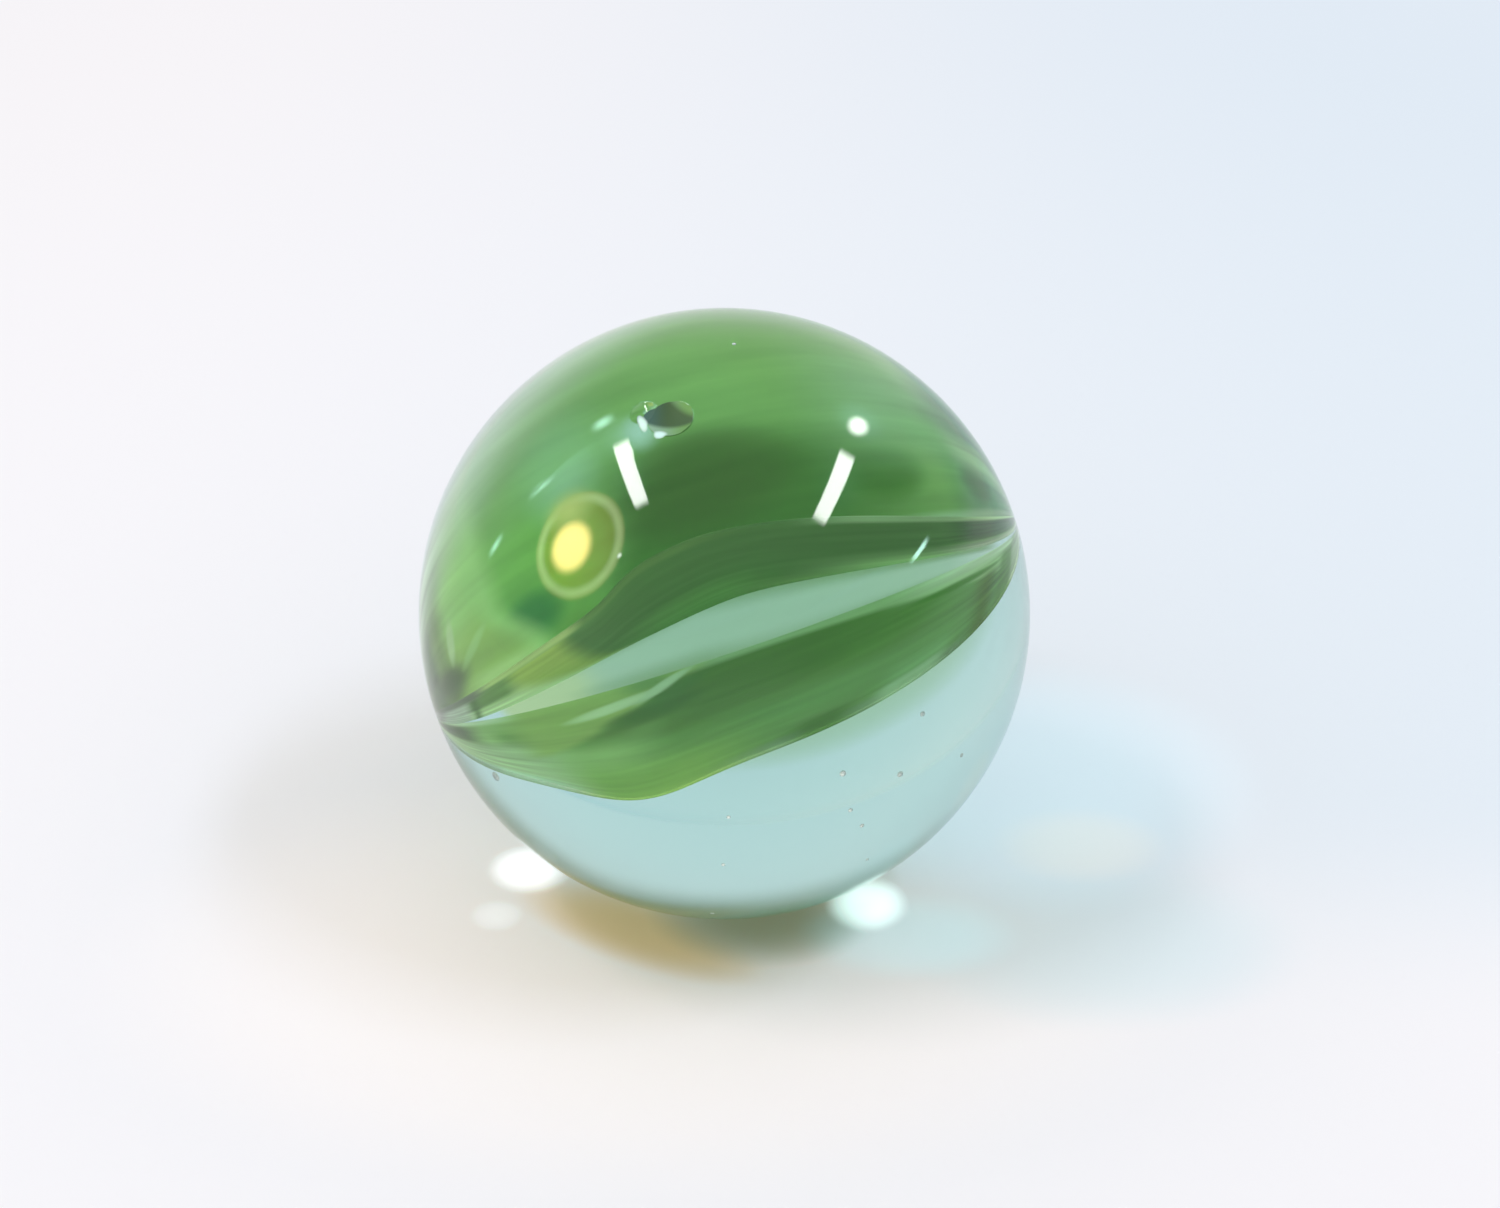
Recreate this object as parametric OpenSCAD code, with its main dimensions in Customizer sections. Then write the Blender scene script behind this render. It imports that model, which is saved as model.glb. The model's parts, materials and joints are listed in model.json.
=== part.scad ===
// Cat's-eye glass marble: a clear glass ball with three coloured glass vanes inside.
// Each vane is a thin cupped leaf that runs from one pole of the ball to the other.
// The origin is the centre of the ball, +Z is up and -Y is the front.

/* [Ball] */
// Outer diameter of the ball
ball_d = 16; // [12:0.5:25]

/* [Pole axis] */
// Lean of the pole axis above the horizontal, in degrees
pole_lean = 15.6; // [-60:0.2:60]
// Turn of the pole axis round the vertical, in degrees
pole_turn = 9.8; // [-90:0.2:90]

/* [All vanes] */
// Clear glass over the outer edge of each vane, at the middle of the ball
edge_cover = 1.2; // [0.8:0.1:2]
// Clear glass over the two tips of each vane
tip_cover = 0.5; // [0.3:0.1:1.5]
// Greatest thickness of each vane
vane_t = 0.5; // [0.3:0.05:0.6]

/* [Back vane] */
// Angle round the pole axis, from upright towards the front
back_angle = -49; // [-60:1:-40]
// Gap between the pole axis and the inner edge
back_gap = 0.5; // [0.4:0.1:1.2]
// How far the back vane's inner edge comes down again towards the two tips
back_drop = 1.1; // [0.4:0.1:1.4]
// How far the middle of the leaf is cupped, in degrees
back_cup = 4; // [-8:1:8]

/* [Front vane] */
// Angle of the inner edge round the pole axis, at its highest place
front_inner_angle = 46; // [40:1:48]
// Latitude of that place, in degrees from the middle of the ball to the right
front_inner_crest = 3; // [-10:1:10]
// Growth of the inner edge's angle from there towards the tips
front_inner_rise = 36; // [0:1:38]
// Angle of the outer edge at the middle of the ball
front_outer_angle = 41.2; // [32:0.2:44]
// Growth of the outer edge's angle towards the tips
front_outer_rise = 14; // [0:0.5:16]
// Step in the outer edge's angle, on the left
front_shoulder = 4; // [0:0.5:6]
// Latitude of the step
front_shoulder_at = -17.5; // [-30:0.5:-10]
// Gap between the pole axis and the inner edge
front_gap = 1.4; // [1.2:0.1:2]
// How far the middle of the leaf is cupped, in degrees
front_cup = 1; // [-4:1:4]

/* [Lower vane] */
// Angle of the inner edge round the pole axis, at the middle of the ball
lower_inner_angle = 92; // [90:1:110]
// Swing of the inner edge to each side of that angle, in degrees
lower_swing = 4.5; // [0:0.5:5.5]
// Angle of the outer edge
lower_outer_angle = 86.3; // [82:0.1:100]
// How far the outer edge bellies down on the left, in degrees
lower_belly = 5.5; // [0:0.5:8]
// Latitude of the deepest place of the belly
lower_belly_at = -26; // [-40:1:-10]
// Half length of the belly, in degrees of latitude
lower_belly_half = 15; // [8:1:25]
// Gap between the pole axis and the inner edge, at the middle of the ball
lower_gap = 1.3; // [1.1:0.1:2]
// How much that gap grows towards one tip and shrinks towards the other
lower_gap_slant = 0.3; // [0:0.05:0.4]
// How far the middle of the leaf is cupped, in degrees
lower_cup = 2; // [-6:1:6]

/* [Nick in the surface] */
// Direction of the nick round the vertical, in degrees from +X
nick_azimuth = -115; // [-180:1:180]
// Height of the nick above the ball's equator, in degrees
nick_elevation = 67.5; // [-60:1:80]
// Width of the main scoop of the nick
nick_w = 1.15; // [0.6:0.05:1.6]
// Depth of the main scoop of the nick
nick_depth = 0.15; // [0.08:0.01:0.25]
// Width of the small scoop beside it
side_nick_w = 0.7; // [0.4:0.05:1]
// Depth of the small scoop beside it
side_nick_depth = 0.09; // [0.05:0.01:0.15]
// Distance between the middles of the two scoops
side_nick_step = 0.75; // [0.5:0.05:1.2]

/* [Hidden] */
$fn = 96;

ball_r = ball_d / 2;
reach = ball_r - edge_cover;  // from the pole axis to a vane's outer edge
tip_x = ball_r - tip_cover;   // from the centre of the ball to a vane's tips
rings = 36;                   // sections along a vane, from tip to tip
steps = 9;                    // steps across a vane, on each of its two faces
glass_colour = [0.75, 0.90, 0.88, 0.35];
vane_colour = [0.33, 0.58, 0.24];

// A share between a and b.
function mix(a, b, t) = a + (b - a) * t;

// Latitude of a ring: -90 degrees at the left tip and 90 at the right one.
function latitude(i) = -90 + 180 * i / rings;

// How far across the leaf a section's point lies, 0 at the inner edge and 1 at the outer.
// The turn runs round the section's oval, so the two edges are round.
function across(turn) = (1 - cos(turn)) / 2;

// One point of a leaf, in the ball's own axes with the poles on X. The leaf's middle
// surface lies at an angle that runs from the inner edge's to the outer edge's, with a
// cup between them. Its distance from the axis falls to nothing at the tips, and its
// thickness is set off square to it, round the axis.
function leaf_point(lat, turn, inner, outer, gap, cup) =
    let (v = across(turn),
         rho = mix(gap, reach, v) * cos(lat),
         angle = mix(inner, outer, v) + cup * 4 * v * (1 - v),
         off = vane_t / 2 * sin(turn) * cos(lat))
    [tip_x * sin(lat),
     -rho * sin(angle) + off * cos(angle),
     rho * cos(angle) + off * sin(angle)];

// The closed section of a leaf at one latitude.
function section(lat, inner, outer, gap, cup) =
    [for (j = [0 : 2 * steps - 1])
        leaf_point(lat, 180 * j / steps, inner, outer, gap, cup)];

// Triangles that join each section to the next, and close the two tips.
function leaf_faces(per, count) =
    let (last = per * count + 1)
    concat(
        [for (j = [0 : per - 1]) [0, 1 + j, 1 + (j + 1) % per]],
        [for (i = [0 : count - 2], j = [0 : per - 1])
            let (a = 1 + i * per, b = a + per, k = (j + 1) % per)
            each [[a + j, b + j, b + k], [a + j, b + k, a + k]]],
        [for (j = [0 : per - 1])
            let (a = 1 + (count - 1) * per)
            [last, a + (j + 1) % per, a + j]]);

// A solid leaf from its sections, which are given as a list from tip to tip.
module leaf(sections) {
    points = concat([[-tip_x, 0, 0]], [for (s = sections) each s], [[tip_x, 0, 0]]);
    polyhedron(points, leaf_faces(2 * steps, len(sections)));
}

// Sets the ball's own axes, with the poles on X, to the way the ball lies.
module as_it_lies() {
    rotate([0, -pole_lean, pole_turn]) children();
}

// The vane that leans up and back: one angle all over, with a cup. Near the tips its inner
// edge comes down past the pole axis.
module back_shape() {
    as_it_lies()
        leaf([for (i = [1 : rings - 1])
            let (lat = latitude(i), gap = back_gap - back_drop * pow(sin(lat), 2))
            section(lat, back_angle, back_angle, gap, back_cup)]);
}

// Angle of the front vane's inner edge: lowest at its crest, and steeper to both sides.
function front_inner(lat) =
    front_inner_angle
    + front_inner_rise * (sqrt(pow(sin(lat - front_inner_crest), 2) + 0.01) - 0.1);

// Angle of the front vane's outer edge: it grows towards the tips, with a step on the left.
function front_outer(lat) =
    front_outer_angle + front_outer_rise * pow(abs(sin(lat)), 1.6)
    + front_shoulder / (1 + exp((lat - front_shoulder_at) / 2.5));

// The vane that leans up and forward.
module front_shape() {
    as_it_lies()
        leaf([for (i = [1 : rings - 1])
            let (lat = latitude(i))
            section(lat, front_inner(lat), front_outer(lat), front_gap, front_cup)]);
}

// The vane that lies flat towards the front. Its outer edge has a belly on the left.
module lower_shape() {
    as_it_lies()
        leaf([for (i = [1 : rings - 1])
            let (lat = latitude(i))
            section(lat, lower_inner_angle - lower_swing * sin(2 * lat),
                lower_outer_angle
                    + lower_belly * exp(-pow((lat - lower_belly_at) / lower_belly_half, 2)),
                lower_gap + lower_gap_slant * sin(lat), lower_cup)]);
}

// A ball that cuts a scoop of one width and depth into the surface at +Z.
module scoop(w, depth) {
    bulge = ball_r - sqrt(pow(ball_r, 2) - pow(w / 2, 2));
    sag = depth - bulge;
    cutter_r = (pow(w / 2, 2) + pow(sag, 2)) / (2 * sag);
    translate([0, 0, ball_r - depth + cutter_r]) sphere(r = cutter_r);
}

// The nick: a main scoop and a smaller one that breaks into it.
module nick() {
    side_step = side_nick_step / ball_r * 180 / PI;
    rotate([0, 90 - nick_elevation, nick_azimuth]) {
        scoop(nick_w, nick_depth);
        rotate([side_step, 0, 0]) scoop(side_nick_w, side_nick_depth);
    }
}

module clear_glass() {
    color(glass_colour)
        difference() {
            sphere(d = ball_d);
            back_shape();
            front_shape();
            lower_shape();
            nick();
        }
}

module back_vane() {
    color(vane_colour) back_shape();
}

module front_vane() {
    color(vane_colour) front_shape();
}

module lower_vane() {
    color(vane_colour) lower_shape();
}

clear_glass();
back_vane();
front_vane();
lower_vane();
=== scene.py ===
"""Looks of a cat's-eye glass marble: a clear ball, three green vanes inside it, and a plain stage.

Lengths are in metres, +Z is up, -Y is the front, and the origin is the centre of the ball.
"""

import json
import math

import bpy
import numpy as np
from bpy.props import FloatProperty, FloatVectorProperty, PointerProperty
from mathutils import Matrix, Vector

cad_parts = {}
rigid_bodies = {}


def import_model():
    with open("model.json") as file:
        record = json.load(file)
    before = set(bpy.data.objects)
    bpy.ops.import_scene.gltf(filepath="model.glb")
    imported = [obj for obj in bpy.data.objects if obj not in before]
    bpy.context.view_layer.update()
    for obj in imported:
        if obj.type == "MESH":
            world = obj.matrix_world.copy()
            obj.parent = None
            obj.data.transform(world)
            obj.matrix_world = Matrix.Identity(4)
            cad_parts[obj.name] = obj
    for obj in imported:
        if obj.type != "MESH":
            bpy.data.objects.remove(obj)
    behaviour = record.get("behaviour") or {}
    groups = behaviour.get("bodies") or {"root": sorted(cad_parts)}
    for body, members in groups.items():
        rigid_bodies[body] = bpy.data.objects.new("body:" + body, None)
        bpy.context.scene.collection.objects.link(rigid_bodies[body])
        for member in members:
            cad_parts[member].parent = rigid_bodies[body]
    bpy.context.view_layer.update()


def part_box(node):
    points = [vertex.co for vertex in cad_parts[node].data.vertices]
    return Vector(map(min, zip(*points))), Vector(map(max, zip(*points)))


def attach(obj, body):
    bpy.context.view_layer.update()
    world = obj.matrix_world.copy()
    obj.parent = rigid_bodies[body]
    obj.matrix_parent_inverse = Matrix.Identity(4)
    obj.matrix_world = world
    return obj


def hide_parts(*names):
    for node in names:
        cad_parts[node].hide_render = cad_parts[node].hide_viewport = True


bl_info = {
    "name": "Cat's-eye marble",
    "version": (1, 0, 0),
    "blender": (4, 5, 0),
    "location": "3D View > Sidebar > Marble",
    "description": "Builds the glass ball, its vanes and a plain stage round the packed frame",
    "category": "Object",
}

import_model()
BALL_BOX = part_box("clear_glass")
BALL_R = (BALL_BOX[1].z - BALL_BOX[0].z) / 2

IMAGE_W, IMAGE_H = 1500, 1208
MM = 0.001

POLE_LEAN, POLE_TURN = math.radians(-15.6), math.radians(9.8)
NICK_AZIMUTH, NICK_ELEVATION = math.radians(-115), math.radians(67.5)


# ---------------------------------------------------------------------------
# Settings
# ---------------------------------------------------------------------------


class MarbleGlassSettings(bpy.types.PropertyGroup):
    tint: FloatVectorProperty(
        name="Tint", description="Colour that the clear glass lets through",
        default=(0.30, 0.73, 0.66), size=3, min=0, max=1, subtype="COLOR")
    depth_of_tint: FloatProperty(
        name="Depth of tint", description="How fast the tint builds up, per metre of glass",
        default=70.0, min=0, max=500)
    nick_width: FloatProperty(
        name="Nick width", description="Width of the main scoop of the nick",
        default=1.15 * MM, min=0.6 * MM, max=1.6 * MM, unit="LENGTH")
    nick_depth: FloatProperty(
        name="Nick depth", description="Depth of the main scoop of the nick",
        default=0.15 * MM, min=0.08 * MM, max=0.25 * MM, unit="LENGTH")
    side_nick_width: FloatProperty(
        name="Side nick width", description="Width of the small scoop beside the main one",
        default=0.70 * MM, min=0.4 * MM, max=1.0 * MM, unit="LENGTH")
    side_nick_depth: FloatProperty(
        name="Side nick depth", description="Depth of the small scoop beside the main one",
        default=0.09 * MM, min=0.05 * MM, max=0.15 * MM, unit="LENGTH")
    side_nick_step: FloatProperty(
        name="Side nick step", description="Distance between the middles of the two scoops",
        default=0.75 * MM, min=0.5 * MM, max=1.2 * MM, unit="LENGTH")


class MarbleVaneSettings(bpy.types.PropertyGroup):
    thickness: FloatProperty(
        name="Thickness", description="Greatest thickness of each vane",
        default=0.5 * MM, min=0.3 * MM, max=0.6 * MM, unit="LENGTH")
    edge_cover: FloatProperty(
        name="Edge cover", description="Clear glass over the outer edge of each vane",
        default=1.2 * MM, min=0.8 * MM, max=2.0 * MM, unit="LENGTH")
    tip_cover: FloatProperty(
        name="Tip cover", description="Clear glass over the two tips of each vane",
        default=0.5 * MM, min=0.3 * MM, max=1.5 * MM, unit="LENGTH")


# ---------------------------------------------------------------------------
# Surfaces
# ---------------------------------------------------------------------------


def linked_object(name, data):
    """A new object in the scene."""
    obj = bpy.data.objects.new(name, data)
    bpy.context.scene.collection.objects.link(obj)
    return obj


def pole_matrix():
    """Turns the ball's own axes, with the poles on X, to the way the ball lies."""
    lean = Matrix.Rotation(POLE_LEAN, 3, "Y")
    turn = Matrix.Rotation(POLE_TURN, 3, "Z")
    return np.array(turn @ lean)


def sphere_rings(polar, turn):
    """Points (sin a cos b, sin a sin b, cos a) on a grid of polar angles a and turns b."""
    a, b = np.meshgrid(polar, turn, indexing="ij")
    return np.stack([np.sin(a) * np.cos(b), np.sin(a) * np.sin(b), np.cos(a)], axis=-1)


def tube_faces(rows, cols):
    """The quads between rings of points, and the fans of triangles at the first and last point.

    Point 0 is the first, point 1 + row * cols + col is on a ring, and the last comes after them.
    """
    row = np.arange(rows - 1)[:, None]
    col = np.arange(cols)
    nxt = (col + 1) % cols
    quads = np.stack([1 + row * cols + col, 1 + (row + 1) * cols + col,
                      1 + (row + 1) * cols + nxt, 1 + row * cols + nxt], axis=-1).reshape(-1, 4)
    last = rows * cols + 1
    top = np.stack([0 * col, 1 + col, 1 + nxt], axis=1)
    end = np.stack([0 * col + last, last - cols + nxt, last - cols + col], axis=1)
    return quads, top, end


def closed_tube(name, first, rings, last):
    """A closed skin over rings of points, with one point at each end.

    rings has the shape (rows, columns, 3). The UV map is the share along the rows and the
    share round them.
    """
    rows, cols = rings.shape[:2]
    points = np.vstack([first, rings.reshape(-1, 3), last])
    quads, top, end = tube_faces(rows, cols)
    along, around = (grid.ravel() for grid in np.indices((rows - 1, cols)))
    quad_u = np.stack([along + 1, along + 2, along + 2, along + 1], axis=1) / (rows + 1)
    quad_v = np.stack([around, around, around + 1, around + 1], axis=1) / cols
    col = np.arange(cols)
    top_u = np.stack([0 * col, 0 * col + 1, 0 * col + 1], axis=1) / (rows + 1)
    top_v = np.stack([col + 0.5, col, col + 1], axis=1) / cols
    end_u = np.stack([0 * col + rows + 1, 0 * col + rows, 0 * col + rows], axis=1) / (rows + 1)
    end_v = np.stack([col + 0.5, col + 1, col], axis=1) / cols
    loops = np.concatenate([quads.ravel(), top.ravel(), end.ravel()]).astype(np.int32)
    uv = np.stack([np.concatenate([quad_u.ravel(), top_u.ravel(), end_u.ravel()]),
                   np.concatenate([quad_v.ravel(), top_v.ravel(), end_v.ravel()])], axis=1)
    sizes = np.concatenate([np.full(len(quads), 4), np.full(2 * cols, 3)]).astype(np.int32)
    starts = np.concatenate([[0], np.cumsum(sizes)[:-1]]).astype(np.int32)
    mesh = bpy.data.meshes.new(name)
    mesh.vertices.add(len(points))
    mesh.vertices.foreach_set("co", points.astype(np.float32).ravel())
    mesh.loops.add(len(loops))
    mesh.loops.foreach_set("vertex_index", loops)
    mesh.polygons.add(len(sizes))
    mesh.polygons.foreach_set("loop_start", starts)
    layer = mesh.uv_layers.new(name="Surface")
    mesh.update(calc_edges=True)
    layer.data.foreach_set("uv", uv.astype(np.float32).ravel())
    mesh.polygons.foreach_set("use_smooth", np.ones(len(sizes), bool))
    mesh.validate()
    return linked_object(name, mesh)


def scoop_radius(direction, middle, width, depth):
    """Distance from the ball's centre to its surface, cut by one spherical scoop.

    The scoop is a sphere that meets the ball in a circle of that width and dips that deep.
    Along a direction d the cut surface is the nearer root of |t d - c| = r.
    """
    bulge = BALL_R - math.sqrt(BALL_R ** 2 - (width / 2) ** 2)
    sag = depth - bulge
    cutter = ((width / 2) ** 2 + sag ** 2) / (2 * sag)
    far = BALL_R - depth + cutter
    along = direction @ (far * middle)
    inside = along ** 2 - (far ** 2 - cutter ** 2)
    root = along - np.sqrt(np.maximum(inside, 0))
    return np.where((inside > 0) & (along > 0), np.minimum(root, BALL_R), BALL_R)


def ball_surface(settings):
    """The ball as rings about the middle of the nick, close together over it.

    A ring at polar angle a and turn b has the points R (sin a cos b, sin a sin b, cos a),
    with R cut back to the nearer of the two scoops.
    """
    to_nick = np.array(Matrix.Rotation(NICK_AZIMUTH, 3, "Z")
                       @ Matrix.Rotation(math.pi / 2 - NICK_ELEVATION, 3, "Y"))
    over_nick, fine_rings, other_rings, cols = math.radians(9), 60, 128, 256
    polar = np.concatenate([np.linspace(0, over_nick, fine_rings + 1)[1:],
                            np.linspace(over_nick, math.pi, other_rings + 2)[1:-1]])
    local = sphere_rings(polar, np.linspace(0, 2 * math.pi, cols, endpoint=False))
    step = settings.side_nick_step / BALL_R
    side = np.array([0, -math.sin(step), math.cos(step)])
    main = np.array([0, 0, 1.0])

    def radius(direction):
        return np.minimum(
            scoop_radius(direction, main, settings.nick_width, settings.nick_depth),
            scoop_radius(direction, side, settings.side_nick_width, settings.side_nick_depth))

    rings = (local * radius(local)[..., None]) @ to_nick.T
    first = main * radius(main) @ to_nick.T
    last = -main * BALL_R @ to_nick.T
    return first, rings, last


# The broken face seen from above: middle and radii in millimetres, turn in degrees, and colour.
CHIP_RADIUS = 0.565
CHIP_SIDE = ((-1.80, -2.60), (0.20, 0.26))
# The pale edges are painted highlights where the edges of the broken face catch light.
CHIP_EDGE_HIGHLIGHTS = (((-2.00, -2.74), (0.44, 0.14), 105, (0.75, 1.0, 0.85)),
              ((-1.55, -3.20), (0.21, 0.18), 0, (0.72, 0.95, 0.88)))

# Azimuth and elevation in degrees, and radius in millimetres.
SEEDS = ((15, 88, 0.055), (-138, -12, 0.13), (-68, -1, 0.085), (-56, -5, 0.085),
         (-51, 6, 0.070), (-66, -10, 0.060), (-90, -21, 0.050), (-89, -8, 0.050),
         (-40, -8, 0.060), (-63, -15, 0.060), (-59, -27, 0.050), (-93, -44, 0.060))


def specks(name, places, depth):
    """Tiny balls with their middles at that depth below the surface of the glass."""
    azimuth, elevation, radius = np.array(places).T
    azimuth, elevation = np.radians(azimuth), np.radians(elevation)
    out = np.stack([np.cos(elevation) * np.cos(azimuth), np.cos(elevation) * np.sin(azimuth),
                    np.sin(elevation)], axis=1)
    rows, cols = 7, 12
    unit = sphere_rings(np.linspace(0, math.pi, rows + 2)[1:-1],
                        np.linspace(0, 2 * math.pi, cols, endpoint=False))
    unit = np.vstack([[0, 0, 1], unit.reshape(-1, 3), [0, 0, -1]])
    middle = out * (BALL_R - depth)
    points = middle[:, None, :] + unit[None] * (radius * MM)[:, None, None]
    quads, top, end = tube_faces(rows, cols)
    step = np.arange(len(places))[:, None, None] * len(unit)
    faces = [*(quads + step).reshape(-1, 4).tolist(), *(top + step).reshape(-1, 3).tolist(),
             *(end + step).reshape(-1, 3).tolist()]
    mesh = bpy.data.meshes.new(name)
    mesh.from_pydata(points.reshape(-1, 3).tolist(), [], faces)
    mesh.polygons.foreach_set("use_smooth", np.ones(len(faces), bool))
    return linked_object(name, mesh)


def back_vane_form(lat):
    """A flat leaf, at one angle all along.

    The gap is 0.5 mm less 1.1 mm times sin squared, so the inner edge passes the axis near
    the tips.
    """
    angle = -49 + 0 * lat
    return angle, angle, (0.5 - 1.1 * np.sin(lat) ** 2) * MM


def front_vane_form(lat):
    """A leaf whose edges turn down towards both tips.

    The inner edge turns by 36 degrees times a rounded |sin|, and the outer one by 14 times
    |sin| to the power 1.6. The outer one also steps down by 4 degrees on the left.
    """
    dip = np.sqrt(np.sin(lat - math.radians(3)) ** 2 + 0.01) - 0.1
    belly = np.abs(np.sin(lat)) ** 1.6
    step = 1 / (1 + np.exp((np.degrees(lat) + 17.5) / 2.5))
    return 46 + 36 * dip, 41.2 + 14 * belly + 4 * step, 1.4 * MM


def lower_vane_form(lat):
    """A leaf that lies level at the front.

    The inner edge twists by 4.5 degrees times sin of twice the latitude. The outer one dips
    by 5.5 degrees in a bell round latitude -26, and the gap is wider on the right.
    """
    bulge = np.exp(-((np.degrees(lat) + 26) / 15) ** 2)
    return 92 - 4.5 * np.sin(2 * lat), 86.3 + 5.5 * bulge, (1.3 + 0.3 * np.sin(lat)) * MM


def vane_surface(settings, form, cup):
    """One vane from tip to tip, as a leaf in the ball's own axes with the poles on X.

    At latitude l and turn t the share across is v = (1 - cos t) / 2. The distance from the
    axis runs from the gap to the reach as v does, times cos l. The angle runs from inner to
    outer with a cup of 4 v (1 - v), and half the thickness times sin t cos l is set off
    square to it. form gives inner, outer and gap by the latitude, in degrees and metres, and
    an angle is 0 at the top of the ball and 90 at the front.
    """
    rows, cols = 179, 96
    lat = np.linspace(-math.pi / 2, math.pi / 2, rows + 2)[1:-1, None]
    turn = np.linspace(0, 2 * math.pi, cols, endpoint=False)[None, :]
    v = (1 - np.cos(turn)) / 2
    inner, outer, gap = form(lat)
    reach = BALL_R - settings.edge_cover
    tip = BALL_R - settings.tip_cover
    rho = (gap * (1 - v) + reach * v) * np.cos(lat)
    angle = np.radians(inner * (1 - v) + outer * v + cup * 4 * v * (1 - v))
    off = settings.thickness / 2 * np.sin(turn) * np.cos(lat)
    x = tip * np.sin(lat) + 0 * v
    rings = np.stack([x, -rho * np.sin(angle) + off * np.cos(angle),
                      rho * np.cos(angle) + off * np.sin(angle)], axis=-1)
    turned = pole_matrix().T
    return np.array([-tip, 0, 0]) @ turned, rings @ turned, np.array([tip, 0, 0]) @ turned


# ---------------------------------------------------------------------------
# Materials
# ---------------------------------------------------------------------------


def new_material(name):
    """An empty node material with its output node."""
    mat = bpy.data.materials.new(name)
    mat.use_nodes = True
    mat.node_tree.nodes.clear()
    out = mat.node_tree.nodes.new("ShaderNodeOutputMaterial")
    return mat, mat.node_tree, out


class Field:
    """A number that varies over a surface, with arithmetic that adds the nodes for it."""

    def __init__(self, tree, socket):
        self.tree = tree
        self.socket = socket

    def join(self, operation, other=0.0):
        """The result of a maths node on this and on a second Field or number."""
        node = self.tree.nodes.new("ShaderNodeMath")
        node.operation = operation
        self.tree.links.new(self.socket, node.inputs[0])
        if isinstance(other, Field):
            self.tree.links.new(other.socket, node.inputs[1])
        else:
            node.inputs[1].default_value = other
        return Field(self.tree, node.outputs[0])

    def __add__(self, other):
        return self.join("ADD", other)

    def __sub__(self, other):
        return self.join("SUBTRACT", other)

    def __mul__(self, other):
        return self.join("MULTIPLY", other)

    def step(self, start, end):
        """0 before start, 1 past end, and a smooth rise between. Start may be the larger."""
        node = self.tree.nodes.new("ShaderNodeMapRange")
        node.interpolation_type = "SMOOTHSTEP"
        node.inputs["From Min"].default_value = start
        node.inputs["From Max"].default_value = end
        self.tree.links.new(self.socket, node.inputs["Value"])
        return Field(self.tree, node.outputs[0])

    def band(self, start, end, soft):
        """1 between start and end, with edges that are soft to both sides."""
        return self.step(start - soft, start + soft) * self.step(end + soft, end - soft)


def pool(x, y, middle, radii, turn=0.0):
    """1 in the middle of an ellipse and 0 past its edge. Its first radius is turned by turn."""
    cos, sin = math.cos(math.radians(turn)), math.sin(math.radians(turn))
    u, v = x - middle[0], y - middle[1]
    along = (u * cos + v * sin) * (1 / radii[0])
    aside = (v * cos - u * sin) * (1 / radii[1])
    return (along * along + aside * aside).step(1.0, 0.0)


def mixed(tree, share, first, second):
    """A colour between two, each a tuple or a socket, by a share that is a Field."""
    node = tree.nodes.new("ShaderNodeMix")
    node.data_type = "RGBA"
    tree.links.new(share.socket, node.inputs[0])
    for socket, value in ((node.inputs[6], first), (node.inputs[7], second)):
        if isinstance(value, tuple):
            socket.default_value = (*value, 1)
        else:
            tree.links.new(value, socket)
    return node.outputs[2]


def axis_fields(tree, source, *axes):
    """The parts of a vector socket along the named axes, each as a Field."""
    split = tree.nodes.new("ShaderNodeSeparateXYZ")
    tree.links.new(source, split.inputs[0])
    return [Field(tree, split.outputs[axis]) for axis in axes]


def object_fields(tree):
    """X and Y of the object's own coordinates, in millimetres."""
    coords = tree.nodes.new("ShaderNodeTexCoord")
    return [axis * (1 / MM) for axis in axis_fields(tree, coords.outputs["Object"], "X", "Y")]


def uv_fields(tree, name):
    """U and V of a UV map."""
    uv = tree.nodes.new("ShaderNodeUVMap")
    uv.uv_map = name
    return axis_fields(tree, uv.outputs[0], "X", "Y")


def mixed_shaders(tree, out, share, first, second):
    """Sets the surface to a mix of two shaders, by the share of the second as a socket."""
    mix = tree.nodes.new("ShaderNodeMixShader")
    tree.links.new(share, mix.inputs[0])
    tree.links.new(first.outputs[0], mix.inputs[1])
    tree.links.new(second.outputs[0], mix.inputs[2])
    tree.links.new(mix.outputs[0], out.inputs["Surface"])


def clear_glass_material(settings):
    """Smooth clear glass with a tint that builds up with depth."""
    mat, tree, out = new_material("clear_glass")
    shader = tree.nodes.new("ShaderNodeBsdfPrincipled")
    shader.inputs["Base Color"].default_value = (1, 1, 1, 1)
    shader.inputs["Roughness"].default_value = 0.0
    shader.inputs["IOR"].default_value = 1.5
    shader.inputs["Transmission Weight"].default_value = 1.0
    volume = tree.nodes.new("ShaderNodeVolumeAbsorption")
    volume.inputs["Color"].default_value = (*settings.tint, 1)
    volume.inputs["Density"].default_value = settings.depth_of_tint
    tree.links.new(shader.outputs[0], out.inputs["Surface"])
    tree.links.new(volume.outputs[0], out.inputs["Volume"])
    return mat


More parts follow.
